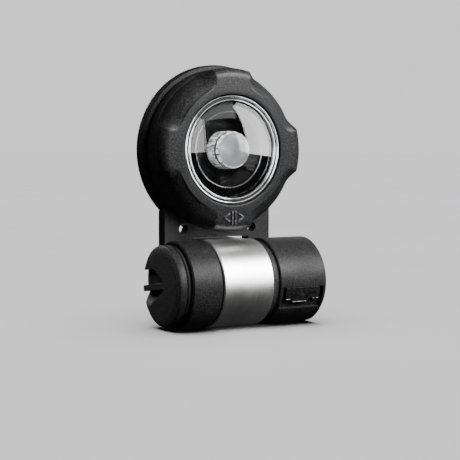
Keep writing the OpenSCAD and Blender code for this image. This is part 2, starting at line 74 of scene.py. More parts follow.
lens_x = (lens_low.x + lens_high.x) / 2
lens_z = (lens_low.z + lens_high.z) / 2
barrel_y = (tube_low.y + tube_high.y) / 2
barrel_z = (tube_low.z + tube_high.z) / 2

# in millimetres: radii about the lens axis, and stations along Y from the barrel's axis
BEZEL_DEPTH = 7.7                     # from its front face, without the index mark, to its back
bezel_r = (bezel_high.x - bezel_low.x) / 2 / MM
bezel_back = (bezel_high.y - barrel_y) / MM
bezel_front = bezel_back - BEZEL_DEPTH
trim_r = (trim_high.x - trim_low.x) / 2 / MM
trim_front = (trim_low.y - barrel_y) / MM
trim_back = (trim_high.y - barrel_y) / MM
lens_r = (lens_high.x - lens_low.x) / 2 / MM
dome_top = (lens_low.y - barrel_y) / MM

# in millimetres: stations along X from the middle of the lens
cap_face = (cap_low.x - lens_x) / MM
cap_end = (cap_high.x - lens_x) / MM
slide_middle = ((slide_low.x + slide_high.x) / 2 - lens_x) / MM


def lens_point(radius, station, turn):
    """A point about the lens axis: turn 0 is up and grows clockwise as seen from the front."""
    return Vector((
        lens_x + radius * MM * math.sin(turn),
        barrel_y + station * MM,
        lens_z + radius * MM * math.cos(turn),
    ))


def barrel_point(radius, station, turn):
    """A point about the barrel's axis: turn 0 is up and grows towards the front."""
    return Vector((
        lens_x + station * MM,
        barrel_y - radius * MM * math.sin(turn),
        barrel_z + radius * MM * math.cos(turn),
    ))


# ---- mesh helpers ---------------------------------------------------------------------

MERGE = 0.002                         # points closer than this are one


def add_mesh(name, points, faces, sharp=40):
    """A smooth mesh object whose edges sharper than that many degrees stay crisp."""
    mesh = bpy.data.meshes.new(name)
    mesh.from_pydata([tuple(p) for p in points], [], faces)
    work = bmesh.new()
    work.from_mesh(mesh)
    bmesh.ops.remove_doubles(work, verts=work.verts, dist=MERGE * MM)
    bmesh.ops.recalc_face_normals(work, faces=work.faces)
    for face in work.faces:
        face.smooth = True
    work.to_mesh(mesh)
    work.free()
    mesh.set_sharp_from_angle(angle=math.radians(sharp))
    obj = bpy.data.objects.new(name, mesh)
    bpy.context.scene.collection.objects.link(obj)
    return obj


def grid_faces(rows, columns, close_rows=False):
    """Quads between closed rows of points, stored row by row."""
    faces = []
    for i in range(rows if close_rows else rows - 1):
        for j in range(columns):
            k = (j + 1) % columns
            m = (i + 1) % rows
            faces.append((i * columns + j, i * columns + k, m * columns + k, m * columns + j))
    return faces


MOST_CUT = 0.45                       # share of an edge that the rounding of one corner may take


def rounded(corners, steps=5):
    """A closed outline of (u, v, radius) corners, each rounded by its radius."""
    outline = []
    count = len(corners)
    for i, (u, v, radius) in enumerate(corners):
        here = Vector((u, v))
        if radius == 0:
            outline.append((u, v))
            continue
        before = Vector(corners[i - 1][:2]) - here
        after = Vector(corners[(i + 1) % count][:2]) - here
        cut = radius / math.tan(before.angle(after) / 2)
        cut = min(cut, MOST_CUT * before.length, MOST_CUT * after.length)
        start = here + before.normalized() * cut
        end = here + after.normalized() * cut
        for k in range(steps + 1):
            t = k / steps
            p = start.lerp(here, t).lerp(here.lerp(end, t), t)
            outline.append((p.x, p.y))
    return outline


def turned(name, outline, place=lens_point, sides=144, sharp=40):
    """A solid turned from a closed outline of (radius, station) points about an axis."""
    points = []
    for radius, station in outline:
        for j in range(sides):
            points.append(place(radius, station, 2 * math.pi * j / sides))
    return add_mesh(name, points, grid_faces(len(outline), sides, close_rows=True), sharp)


def settle(piece, body, slot, material, *stands_for):
    """Give a piece its material, body and the CAD nodes that it stands for; the slot is not used.
    """
    piece.data.materials.clear()
    piece.data.materials.append(material)
    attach(piece, body)
    if stands_for:
        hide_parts(*stands_for)


# ---- material helpers -----------------------------------------------------------------

# noise scales are waves for each metre, so 3000 is a grain of a third of a millimetre

class Surface:
    """A node material built around one Principled shader."""

    def __init__(self, name, **sockets):
        self.material = bpy.data.materials.new(name)
        self.material.use_nodes = True
        self.tree = self.material.node_tree
        self.shader = self.tree.nodes["Principled BSDF"]
        self.coords = self.add("ShaderNodeTexCoord").outputs["Object"]
        for socket, value in sockets.items():
            self.shader.inputs[socket.replace("_", " ")].default_value = value

    def add(self, kind, **values):
        node = self.tree.nodes.new(kind)
        for key, value in values.items():
            setattr(node, key, value)
        return node

    def link(self, source, target):
        self.tree.links.new(source, target)

    def stretched(self, scale):
        """Object coordinates scaled by axis, for grain that runs one way."""
        mapping = self.add("ShaderNodeMapping")
        self.link(self.coords, mapping.inputs["Vector"])
        mapping.inputs["Scale"].default_value = scale
        return mapping.outputs["Vector"]

    def noise(self, scale, detail=3.0, roughness=0.55, vector=None):
        node = self.add("ShaderNodeTexNoise")
        node.inputs["Scale"].default_value = scale
        node.inputs["Detail"].default_value = detail
        node.inputs["Roughness"].default_value = roughness
        self.link(vector or self.coords, node.inputs["Vector"])
        return node.outputs["Fac"]

    def spread(self, value, low, high, from_low=0.3, from_high=0.7):
        """A value between from_low and from_high stretched to lie between low and high."""
        node = self.add("ShaderNodeMapRange")
        node.inputs["From Min"].default_value = from_low
        node.inputs["From Max"].default_value = from_high
        node.inputs["To Min"].default_value = low
        node.inputs["To Max"].default_value = high
        self.link(value, node.inputs["Value"])
        return node.outputs["Result"]

    def sum(self, first, second):
        node = self.add("ShaderNodeMath", operation="ADD")
        self.link(first, node.inputs[0])
        self.link(second, node.inputs[1])
        return node.outputs[0]

    def product(self, first, second):
        node = self.add("ShaderNodeMath", operation="MULTIPLY")
        self.link(first, node.inputs[0])
        self.link(second, node.inputs[1])
        return node.outputs[0]

    def mix(self, factor, first, second):
        """A colour between two colours or sockets."""
        node = self.add("ShaderNodeMix", data_type="RGBA")
        self.link(factor, node.inputs["Factor"])
        for socket, colour in ((node.inputs[6], first), (node.inputs[7], second)):
            if isinstance(colour, tuple):
                socket.default_value = (*colour, 1)
            else:
                self.link(colour, socket)
        return node.outputs[2]

    def bump(self, height, strength, distance, normal=None):
        node = self.add("ShaderNodeBump")
        node.inputs["Strength"].default_value = strength
        node.inputs["Distance"].default_value = distance
        self.link(height, node.inputs["Height"])
        if normal:
            self.link(normal, node.inputs["Normal"])
        return node.outputs["Normal"]

    def soft_edge(self, radius):
        """A normal that runs softly over the edges, and a mask that is 1 on them."""
        bevel = self.add("ShaderNodeBevel", samples=6)
        bevel.inputs["Radius"].default_value = radius
        flat = self.add("ShaderNodeNewGeometry").outputs["Normal"]
        match = self.add("ShaderNodeVectorMath", operation="DOT_PRODUCT")
        self.link(bevel.outputs["Normal"], match.inputs[0])
        self.link(flat, match.inputs[1])
        # 0 where the two normals are less than 6 degrees apart, and 1 from 37 degrees
        mask = self.spread(match.outputs["Value"], 1.0, 0.0, 0.80, 0.995)
        return bevel.outputs["Normal"], mask

    def wire(self, **links):
        """Link sockets of the shader, and give back the finished material."""
        for socket, source in links.items():
            self.link(source, self.shader.inputs[socket.replace("_", " ")])
        return self.material


def scaled(colour, factor):
    return tuple(min(1, c * factor) for c in colour)


GRAIN_DEPTH = 0.06 * MM               # of the spark-eroded skin


def moulded(name, colour, rough, grain=3000, strength=0.9, edge=0.12, rub_and_highlight=5):
    """Moulded plastic with a spark-eroded skin, cloudy gloss and lighter edges.

    The lighter band is edge millimetres wide; the last argument says how many times as light as the
    plastic it is. It is partly rubbed wear, partly a painted highlight.
    """
    s = Surface(name, IOR=1.49, Specular_IOR_Level=0.30)
    skin = s.noise(grain, 4)
    pits = s.noise(grain * 2.7, 2)
    cloud = s.noise(110, 4)
    smooth_normal, worn = s.soft_edge(edge * MM)
    tint = s.mix(s.spread(cloud, 0, 1), scaled(colour, 0.82), scaled(colour, 1.25))
    grit = s.mix(s.spread(skin, 0, 0.9, 0.46, 0.64), tint, scaled(colour, 5))
    # the edges are lighter: partly rubbed wear, partly a painted highlight
    edge_wear_and_highlight = s.product(worn, s.spread(s.noise(900, 3), 0.1, 0.9))
    final = s.mix(edge_wear_and_highlight, grit, scaled(colour, rub_and_highlight))
    sheen = s.sum(s.spread(cloud, rough - 0.05, rough + 0.05), s.spread(pits, -0.05, 0.06))
    normal = s.bump(skin, strength, GRAIN_DEPTH, smooth_normal)
    normal = s.bump(pits, strength * 0.6, GRAIN_DEPTH * 0.4, normal)
    return s.wire(Base_Color=final, Roughness=sheen, Normal=normal)


def rubber(name, colour):
    """Plain silicone rubber with a faint bloom."""
    s = Surface(name, IOR=1.41)
    cloud = s.noise(400, 4)
    tint = s.mix(s.spread(cloud, 0, 1), colour, scaled(colour, 2.2))
    return s.wire(Base_Color=tint, Roughness=s.spread(cloud, 0.6, 0.8),
                  Normal=s.bump(s.noise(3000), 0.3, 0.01 * MM))


def metal(name, colour, rough, lines=(1, 1, 1), line_scale=900, depth=0.004, anisotropic=0.0):
    """Metal with fine tool lines that run one way, and slightly uneven gloss."""
    s = Surface(name, Metallic=1.0, Anisotropic=anisotropic)
    scratch = s.noise(line_scale, 3, 0.6, s.stretched(lines))
    fine = s.noise(line_scale * 3.5, 2, 0.5, s.stretched(lines))
    cloud = s.noise(130, 3)
    smooth_normal, worn = s.soft_edge(0.08 * MM)
    tint = s.mix(s.spread(scratch, 0, 1), scaled(colour, 0.86), scaled(colour, 1.08))
    final = s.mix(worn, tint, scaled(colour, 1.15))
    sheen = s.sum(s.spread(cloud, rough - 0.03, rough + 0.03), s.spread(fine, -0.04, 0.05))
    normal = s.bump(scratch, 0.5, depth * MM, smooth_normal)
    normal = s.bump(fine, 0.4, depth * 0.5 * MM, normal)
    return s.wire(Base_Color=final, Roughness=sheen, Normal=normal)


def clear(name, colour, rough, ior):
    """Clear moulded lens with faint dust and wiping marks."""
    s = Surface(name, IOR=ior, Transmission_Weight=1.0)
    dust = s.noise(700, 6, 0.7)
    wipe = s.noise(180, 4, 0.6, s.stretched((1, 1, 0.25)))
    tint = s.mix(s.spread(dust, 0, 1), colour, scaled(colour, 0.985))
    return s.wire(Base_Color=tint, Roughness=s.spread(wipe, rough, rough + 0.02),
                  Normal=s.bump(wipe, 0.05, 0.01 * MM))


def gloss(name, colour, rough, coat=0.0, level=0.5):
    """Smooth glossy plastic, lacquer or solder mask with a slight waviness."""
    s = Surface(name, IOR=1.5, Coat_Weight=coat, Coat_Roughness=0.05, Specular_IOR_Level=level)
    cloud = s.noise(500, 4)
    tint = s.mix(s.spread(cloud, 0, 1), scaled(colour, 0.9), scaled(colour, 1.15))
    return s.wire(Base_Color=tint, Roughness=s.spread(cloud, rough, rough + 0.06),
                  Normal=s.bump(cloud, 0.08, 0.02 * MM))


BLACK = (0.009, 0.009, 0.0095)
# the housing's and the slide's edges are painted lighter still: partly wear, partly a painted
# highlight
housing_skin = moulded("housing_skin", BLACK, 0.46, rub_and_highlight=9)
cover_skin = moulded("cover_skin", BLACK, 0.47)
bezel_skin = moulded("bezel_skin", (0.011, 0.011, 0.0115), 0.43)
mark_skin = moulded("mark_skin", (0.045, 0.045, 0.047), 0.28, grain=1800, strength=0.2)
cap_skin = moulded("cap_skin", BLACK, 0.46)
clip_skin = moulded("clip_skin", (0.008, 0.008, 0.0085), 0.38, strength=0.4)
slide_skin = moulded("slide_skin", (0.007, 0.007, 0.0075), 0.30, grain=1800, strength=0.25,
                     edge=0.18, rub_and_highlight=14)
# light grey ridges on the black slide: a painted highlight along its lower edges
ridge_highlight_skin = moulded("ridge_highlight_skin", (0.13, 0.13, 0.135), 0.25, grain=1800, strength=0.25)
spacer_skin = moulded("spacer_skin", (0.014, 0.014, 0.015), 0.55)
bush_skin = moulded("bush_skin", (0.82, 0.81, 0.75), 0.42, strength=0.2)
seal_rubber = rubber("seal_rubber", (0.015, 0.015, 0.015))
brushed_band = metal("brushed_band", (0.82, 0.81, 0.80), 0.34, (4, 0.12, 0.12), 1300, 0.005, 0.2)
plain_steel = metal("plain_steel", (0.45, 0.45, 0.46), 0.30, (1, 0.2, 1), 1200)
bright_chrome = metal("bright_chrome", (0.88, 0.89, 0.91), 0.13, (1, 0.1, 1), 1500, 0.0002)
turned_alloy = metal("turned_alloy", (0.80, 0.80, 0.81), 0.22, (1, 5, 1))
gold_plate = metal("gold_plate", (0.83, 0.65, 0.30), 0.22)
lens_clear = clear("lens_clear", (0.99, 0.995, 1.0), 0.0, 1.49)
cup_gloss = gloss("cup_gloss", (0.0008, 0.0008, 0.0009), 0.08, level=0.16)
edge_metal = metal("edge_metal", (0.34, 0.34, 0.35), 0.16, (1, 0.1, 1), 1500, 0.0002)
solder_mask = gloss("solder_mask", (0.03, 0.20, 0.08), 0.3)
white_mask = gloss("white_mask", (0.85, 0.85, 0.82), 0.3)
phosphor_skin = gloss("phosphor_skin", (0.90, 0.80, 0.25), 0.5)
chip_skin = gloss("chip_skin", (0.03, 0.03, 0.03), 0.45)
cell_sleeve = gloss("cell_sleeve", (0.55, 0.56, 0.50), 0.3, coat=0.3)
red_sleeve = gloss("red_sleeve", (0.55, 0.03, 0.02), 0.4)
black_sleeve = gloss("black_sleeve", (0.02, 0.02, 0.02), 0.4)


def opal(name):
    """Grey milky silicone over the light source, with a glossy face."""
    s = Surface(name, IOR=1.5, Coat_Weight=1.0, Coat_Roughness=0.06)
    cloud = s.noise(300, 3)
    tint = s.mix(s.spread(cloud, 0, 1), (0.15, 0.155, 0.16), (0.27, 0.275, 0.28))
    return s.wire(Base_Color=tint, Roughness=s.spread(cloud, 0.14, 0.24),
                  Normal=s.bump(cloud, 0.1, 0.02 * MM))


opal_silicone = opal("opal_silicone")


def painted_glint_clear(name):
    """Side of a moulded collimator, with painted glints: bright and dark streaks and white flecks
    in its colour stand in for light on its facets.
    """
    s = Surface(name, IOR=1.49, Coat_Weight=0.6, Coat_Roughness=0.04)
    glint_streak = s.noise(1500, 4, 0.7, s.stretched((1, 0.25, 1)))
    glint_fleck = s.noise(2600, 3, 0.6)
    # bright and dark streaks and white flecks: painted glints
    base = s.mix(s.spread(glint_streak, 0, 1, 0.4, 0.6), (0.05, 0.05, 0.055), (1.0, 1.0, 1.0))
    tint = s.mix(s.spread(glint_fleck, 0, 0.6, 0.5, 0.7), base, (0.98, 0.98, 0.98))
    return s.wire(Base_Color=tint, Roughness=s.spread(glint_fleck, 0.08, 0.2),
                  Normal=s.bump(glint_streak, 0.6, 0.1 * MM))


collimator_side_glints = painted_glint_clear("collimator_side_glints")

# the CAD nodes that keep their shape
CARRIED_OVER = {
    "knuckle_band": brushed_band,
    "knuckle_bush": bush_skin,
    "strap_clip": clip_skin,
    "clip_screws": plain_steel,
    "yoke_housing": housing_skin,
    "rear_cover": cover_skin,
    "cover_seal": seal_rubber,
    "cover_screws": plain_steel,
    "battery_tube": turned_alloy,
    "lithium_cell": cell_sleeve,
    "positive_contact": gold_plate,
    "contact_carrier": spacer_skin,
    "friction_ring": spacer_skin,
    "thrust_washer": spacer_skin,
    "positive_lead": red_sleeve,
    "negative_lead": black_sleeve,
    "heat_sink": turned_alloy,
    "led_board": white_mask,
    "led_emitter": phosphor_skin,
    "driver_board": solder_mask,
    "driver_parts": chip_skin,
    "lens_seal": seal_rubber,
    "bezel_retainer": plain_steel,
    "detent_balls": plain_steel,
    "detent_springs": plain_steel,
    "bezel_magnets": plain_steel,
    "cap_seal": seal_rubber,
    "cap_contact": gold_plate,
    "negative_spring": plain_steel,
    "lock_slide": slide_skin,
}
for node_name, material in CARRIED_OVER.items():
    for place in nodes[node_name].material_slots:
        place.material = material


# ---- rotary bezel ---------------------------------------------------------------------

SCALLOPS = 4
BEZEL_ROUND = 2.35                    # radius between the bezel's front face and its side
BEZEL_DRAFT = 0.06                    # how much its side narrows towards the back
BACK_ROUND = 0.42                     # height of its rounded back edge
BORE_GAP = 0.27                       # between the bright ring and the bezel's bore
BORE_RIM = 0.25                       # width of the bore's rounded rim
DISH_INNER_R = 15.9                   # radius at which a finger dish leaves the front face
DISH_BACK = 3.3                       # station at which it ends on the bezel's side
DISH_STEP = (16.1, -2.7)              # foot of the small step at its inner edge
DISH_BEND = (19.6, -0.9)              # its floor slants and bends smoothly from there
DISH_HEEL = (19.75, 2.0)              # down to the bezel's side
STEP_RUN = 0.35                       # way along the front face over which the step drops
FLOOR_RUN = 7.65                      # way along face and side over which the floor bends
DISH_END = 4.0                        # length of the soft run-out at its two ends
DISH_SIDE = 3.0                       # and towards the bezel's back
DISH_HALF = math.radians(29.5)        # half of its width
INNER_CORNER = 2.2                    # radius of its corners on the front face
OUTER_CORNER = 3.6                    # and of those on the side
# distances from a dish's edge of the lines of points that follow it
EDGE_STEPS = (0.0, 0.04, 0.12, 0.25, 0.42, 0.65, 0.95, 1.3, 1.6)
EDGE_GAP = 0.25                       # and of the line just outside it


def bezel_side():
    """The bezel's outside from its bore's rim over the front to the back edge."""
    centre = (bezel_r - BEZEL_ROUND, bezel_front + BEZEL_ROUND)
    line = [(trim_r + BORE_GAP + BORE_RIM, bezel_front)]
    steps = 24
    for k in range(steps + 1):
        a = math.radians(90 * k / steps)
        line.append((centre[0] + BEZEL_ROUND * math.sin(a), centre[1] - BEZEL_ROUND * math.cos(a)))
    line.append((bezel_r - BEZEL_DRAFT, bezel_back - BACK_ROUND))
    return line


def walk(line, distance):
    """The point at that distance along a line."""
    for a, b in zip(line, line[1:]):
        length = math.dist(a, b)
        if distance <= length or b is line[-1]:
            t = distance / length
            return a[0] + (b[0] - a[0]) * t, a[1] + (b[1] - a[1]) * t
        distance -= length


def make_bezel():
    """Rotary ring with a finger dish between each two of its lugs, as one skin."""
    line = bezel_side()
    total = sum(math.dist(a, b) for a, b in zip(line, line[1:]))
    first = DISH_INNER_R - line[0][0]
    last = total - (line[-1][1] - DISH_BACK)
    middle = (first + last) / 2
    half_pitch = math.pi / SCALLOPS

    def dish_edge(distance):
        """Half of a dish's width at that distance along the side, as an angle."""
        distance = min(max(distance, first), last)
        r = walk(line, distance)[0]
        corner, gap = INNER_CORNER, distance - first
        if distance > middle:
            corner, gap = OUTER_CORNER, last - distance
        shortfall = max(corner - gap, 0)
        return DISH_HALF - (corner - math.sqrt(corner ** 2 - shortfall ** 2)) / r

    def dish_floor(distance):
        """Point of the floor that lies under the point of the side at that distance."""
        gap = distance - first
        if gap < STEP_RUN:
            t = gap / STEP_RUN
            return [DISH_INNER_R + (DISH_STEP[0] - DISH_INNER_R) * t,
                    bezel_front + (DISH_STEP[1] - bezel_front) * t]
        t = min((gap - STEP_RUN) / FLOOR_RUN, 1)
        return [(1 - t) ** 2 * a + 2 * t * (1 - t) * b + t * t * c
                for a, b, c in zip(DISH_STEP, DISH_BEND, DISH_HEEL)]

    def dish_share(distance, r, turn):
        """How much of the dish's full depth there is at a point of the side."""
        if distance <= first or distance >= last:
            return 0
        side = min((last - distance) / DISH_SIDE, 1)
        end = min(max((dish_edge(distance) - turn) * r / DISH_END, 0), 1)
        return math.sin(math.pi / 2 * side) * math.sin(math.pi / 2 * end)

    def columns(distance, r):
        """Angles from the middle of a dish to the middle of the lug beside it."""
        edge = dish_edge(distance)
        floor_end = edge - EDGE_STEPS[-1] / r
        steps = 10
        angles = [floor_end * k / steps for k in range(steps)]
        angles += [edge - step / r for step in reversed(EDGE_STEPS)]
        angles += [edge + (half_pitch - edge) * k / steps for k in range(1, steps + 1)]
        return angles

    # distances along the side at which rows of points run round the bezel
    stations = [0.0, first * 0.5, first - EDGE_GAP]
    stations += [first + step for step in EDGE_STEPS]
    spare = last - first - 2 * EDGE_STEPS[-1]
    steps = 20
    stations += [first + EDGE_STEPS[-1] + spare * k / steps for k in range(1, steps)]
    stations += [last - step for step in reversed(EDGE_STEPS)]
    stations += [last + EDGE_GAP, total]

    # up the bore, which is wider behind the shoulder that the snap ring holds
    bore = trim_r + BORE_GAP
    back_bore = trim_r + 0.6
    shoulder = trim_back - 0.3
    front = [(bore, shoulder), (bore, bezel_front + 0.3), (bore + 0.04, bezel_front + 0.12),
             (bore + 0.12, bezel_front + 0.03)]

    # over the back edge, and across the back with its shallow track for the detent balls
    track = bezel_back - 0.25
    behind = [(bezel_r - 0.14, bezel_back - 0.24), (bezel_r - 0.22, bezel_back - 0.12),
              (bezel_r - 0.38, bezel_back - 0.03), (bezel_r - 0.55, bezel_back),
              (19.3, bezel_back), (18.3, bezel_back), (18.1, track), (16.7, track),
              (16.5, bezel_back), (back_bore, bezel_back), (back_bore, 1.6), (15.0, 1.6),
              (15.0, shoulder)]

    rows = []
    for r, y in front:
        rows.append([(a, r, y) for a in columns(first, DISH_INNER_R)])
    for distance in stations:
        r, y = walk(line, distance)
        floor_r, floor_y = dish_floor(distance)
        row = []
        for turn in columns(distance, r):
            share = dish_share(distance, r, turn)
            row.append((turn, r + (floor_r - r) * share, y + (floor_y - y) * share))
        rows.append(row)
    for r, y in behind:
        rows.append([(a, r, y) for a in columns(last, bezel_r)])

    points = []
    for row in rows:
        for scallop in range(SCALLOPS):
            mid_turn = half_pitch * (2 * scallop + 1)
            # from the lug before the dish to the lug after it
            for a, r, y in reversed(row[1:]):
                points.append(lens_point(r, y, mid_turn - a))
            for a, r, y in row[:-1]:
                points.append(lens_point(r, y, mid_turn + a))
    sides = SCALLOPS * 2 * (len(rows[0]) - 1)
    bezel = add_mesh("rotary_bezel", points, grid_faces(len(rows), sides, close_rows=True), 50)
    settle(bezel, "bezel", "bezel", bezel_skin, "bezel_ring")


def prism(outline, front, back, edge):
    """Points and faces of a plate between two stations, with its front edges broken by edge."""
    centre = sum((Vector(p) for p in outline), Vector((0, 0))) / len(outline)
    layers = [(back, 0), (front + edge, 0), (front, edge)]
    points = []
    for station, inset in layers:
        for p in outline:
            q = Vector(p) - centre
            q = centre + q * (1 - inset / max(q.length, 0.01))
            points.append(Vector((lens_x + q.x * MM, barrel_y + station * MM, lens_z + q.y * MM)))
    n = len(outline)
    faces = grid_faces(len(layers), n)
    faces.append(tuple(range(n)))
    faces.append(tuple(range(2 * n, 3 * n)))
    return points, faces


def bar(start, end, width):
    """Corners of a straight bar between two points."""
    start, end = Vector(start), Vector(end)
    along = (end - start).normalized() * (width / 2)
    across = Vector((-along.y, along.x))
    return [start - across, end - across, end + across, start + across]


MARK_DROP = 16.9                      # of the mark's middle below the lens axis
MARK_RISE = 0.3                       # above the bezel's face
MARK_ROOT = 0.2                       # how far it reaches into the bezel
MARK_EDGE = 0.08                      # how far its edges are broken
BARS_X = 0.45                         # the two upright bars, either side of the middle
BARS_HALF = 1.7                       # half their height
BARS_WIDTH = 0.5
ARROW_BASE = (1.15, 1.05)             # where an arrow's arms start, beside and above the middle
ARROW_TIP = 2.8                       # where they meet
ARROW_WIDTH = 0.42                    # of each arm
ARROW_UP = 0.05                       # the arrows sit this much higher than the bars


def make_index_mark():
    """The raised two-way arrow at the bottom of the bezel."""
    middle = -MARK_DROP
    arrow_middle = middle + ARROW_UP
    shapes = []
    for side in (-1, 1):
        x = side * BARS_X
        shapes.append(bar((x, middle - BARS_HALF), (x, middle + BARS_HALF), BARS_WIDTH))
        tip = (side * ARROW_TIP, arrow_middle)
        for arm in (-1, 1):
            start = (side * ARROW_BASE[0], arrow_middle + arm * ARROW_BASE[1])
            shapes.append(bar(start, tip, ARROW_WIDTH))
    points = []
    faces = []
    for shape in shapes:
        p, f = prism(shape, bezel_front - MARK_RISE, bezel_front + MARK_ROOT, MARK_EDGE)
        faces += [tuple(i + len(points) for i in face) for face in f]
        points += p
    mark = add_mesh("index_mark", points, faces, 25)
    settle(mark, "bezel", "bezel", mark_skin)


# ---- optic ----------------------------------------------------------------------------

def half_round(r0, r1, front):
    """Points of a half round lip between two radii, with its crown at that station."""
    half = (r1 - r0) / 2
    steps = 8
    points = []
    for k in range(steps + 1):
        a = math.pi * k / steps
        points.append(((r0 + r1) / 2 - half * math.cos(a), front + half - half * math.sin(a)))
    return points


RING_BORE = 12.12                     # where the inner lip starts
INNER_LIP_R = 12.58                   # where it ends
OUTER_LIP_R = 13.02                   # where the outer lip starts
GROOVE_DEPTH = 1.0                    # of the groove between the lips
SHADE_RING_DEPTH = 0.4                      # at which the face of the dark ring, painted shade, lies in it
FLANGE_FRONT = -2.0                   # station of the lens's flange, which the ring clamps
LIGHT_SIDES = 192                     # sides of the turned pieces that show the softboxes


def make_bright_ring():
    """Polished ring with two half round lips, and a dark ring in the groove between them as painted
    shade.
    """
    f = trim_front
    foot = f + GROOVE_DEPTH
    outline = [(RING_BORE, FLANGE_FRONT)] + half_round(RING_BORE, INNER_LIP_R, f + 0.05)
    outline += [(INNER_LIP_R, foot), (OUTER_LIP_R, foot)] + half_round(OUTER_LIP_R, trim_r, f)
    outline += [(trim_r, trim_back), (12.75, trim_back), (12.75, FLANGE_FRONT)]
    ring = turned("bright_ring", outline, sides=LIGHT_SIDES)
    settle(ring, "lamp", "chrome", bright_chrome, "trim_ring")

    # the groove is filled with a dark ring: painted shade
    inner, outer = INNER_LIP_R - 0.03, OUTER_LIP_R + 0.03
    outline = rounded([
        (inner, foot + 0.05, 0), (inner, f + SHADE_RING_DEPTH, 0.04),
        (outer, f + SHADE_RING_DEPTH, 0.04), (outer, foot + 0.05, 0),
    ])
    groove = turned("groove_shade_ring", outline)
    settle(groove, "lamp", "rubber", seal_rubber)


def dome(edge_r, edge_y, top_y, count):
    """Points of a spherical cap from its edge to the axis."""
    rise = edge_y - top_y
    radius = (edge_r ** 2 + rise ** 2) / (2 * rise)
    points = []
    for k in range(count + 1):
        r = edge_r * (1 - k / count)
        points.append((r, top_y + radius - math.sqrt(radius ** 2 - r ** 2)))
    return points


GLASS_R = 12.08                       # of the lens's dome outside
GLASS_INNER_R = 11.3                  # and inside
GLASS_THICK = 1.35                    # at its middle
FLANGE_BACK = -0.8                    # station of the flange's back


def make_lens():
    """Bulging clear lens with its clamped flange."""
    outer = dome(GLASS_R, FLANGE_FRONT - 0.25, dome_top, 22)
    inner = dome(GLASS_INNER_R, FLANGE_BACK - 0.45, dome_top + GLASS_THICK, 22)
    flange = [(GLASS_INNER_R, FLANGE_BACK), (lens_r, FLANGE_BACK), (lens_r, FLANGE_FRONT + 0.05),
              (lens_r - 0.1, FLANGE_FRONT), (GLASS_R, FLANGE_FRONT)]
    lens = turned("domed_lens", inner[::-1] + flange + outer, sides=LIGHT_SIDES, sharp=30)
    # the softboxes light the optic straight through the clear lens
    lens.visible_shadow = False
    settle(lens, "lamp", "lens", lens_clear, "lens")


CUP_EDGE = (9.15, 9.55)               # radii of the thin bright edge round the cup's hollow


def make_cup():
    """Gloss black cup around the post, with a thin bright edge."""
    # up the bore, out along the hollow, over the flat rim and down to the back
    outline = rounded([
        (4.85, 3.4, 0), (4.85, 2.3, 0.2), (6.2, 1.9, 0.6), (8.0, 1.0, 0.8), (8.95, 0.3, 0.15),
        (9.1, -0.1, 0.1), (11.2, -0.1, 0.1), (11.3, 0.15, 0.1), (12.0, 0.3, 0), (12.0, 3.4, 0),
    ])
    cup = turned("gloss_cup", outline)
    settle(cup, "lamp", "baffle", cup_gloss, "reflector_cup")
    inner, outer = CUP_EDGE
    outline = [(inner, 0.1)] + half_round(inner, outer, -0.38) + [(outer, 0.1)]
    edge = turned("cup_edge", outline)
    settle(edge, "lamp", "baffle", edge_metal)


OPTIC_BASE = -2.3                     # station of the end of the post
OPTIC_R = 4.15                        # of the moulded rim
OPTIC_DOME_R = 4.0                    # of the dome's edge
OPTIC_RISE = 0.95                     # of the dome above its rim
RIM_HEIGHT = 0.38


def make_optic():
    """Glossy dome over the light source, with a moulded rim."""
    base = OPTIC_BASE
    rim = base - RIM_HEIGHT
    outline = [(0.0, base), (OPTIC_R - 0.05, base), (OPTIC_R, base - 0.05),
               (OPTIC_R, base - 0.3), (OPTIC_R - 0.1, rim)]
    outline += dome(OPTIC_DOME_R, rim, rim - OPTIC_RISE, 12)
    optic = turned("led_optic", outline, sides=96)
    settle(optic, "lamp", "silicone", opal_silicone, "led_dome")


SLEEVE_BORE = 4.1                     # radius of the sleeve's inside
SLEEVE_BAND_R = 4.57                  # of the dark band in the sleeve's groove
SLEEVE_GROOVE = (-1.54, -0.79)        # stations of that band
SLEEVE_GROOVE_R = 4.2                 # of the band's inside


def make_sleeve():
    """Uneven sleeve round the post that carries the light source, with a groove; its bright look is
    painted glints.
    """
    sides = 180
    # station, outer radius and depth of the uneven hollows at each level
    levels = [(2.6, 4.72, 0.0), (0.9, 4.72, 0.1), (0.2, 4.72, 0.34), (-0.5, 4.72, 0.30),
              (-0.68, 4.70, 0.12), (-0.75, 4.62, 0.0), (-0.78, 4.25, 0.0), (-1.55, 4.25, 0.0),
              (-1.58, 4.5, 0.0), (-1.64, 4.6, 0.1), (-1.95, 4.6, 0.32), (-2.3, 4.5, 0.2),
              (-2.42, 4.4, 0.0)]
    points = []
    for station, radius, cut in levels:
        for j in range(sides):
            a = 2 * math.pi * j / sides
            # between 0 and 1, in two waves that don't repeat together
            hollow = 0.5 + 0.28 * math.sin(11 * a + station) + 0.22 * math.sin(17 * a - 2 * station)
            points.append(lens_point(radius - cut * hollow, station, a))
    for station in (levels[-1][0], levels[0][0]):
        for j in range(sides):
            points.append(lens_point(SLEEVE_BORE, station, 2 * math.pi * j / sides))
    faces = grid_faces(len(levels) + 2, sides, close_rows=True)
    sleeve = add_mesh("post_sleeve", points, faces, 35)
    settle(sleeve, "lamp", "silicone", collimator_side_glints)

    front, back = SLEEVE_GROOVE
    outline = rounded([
        (SLEEVE_GROOVE_R, front, 0), (SLEEVE_BAND_R, front, 0.05),
        (SLEEVE_BAND_R, back, 0.05), (SLEEVE_GROOVE_R, back, 0),
    ])
    dark_band = turned("sleeve_band", outline)
    settle(dark_band, "lamp", "rubber", seal_rubber)


# ---- battery cap ----------------------------------------------------------------------

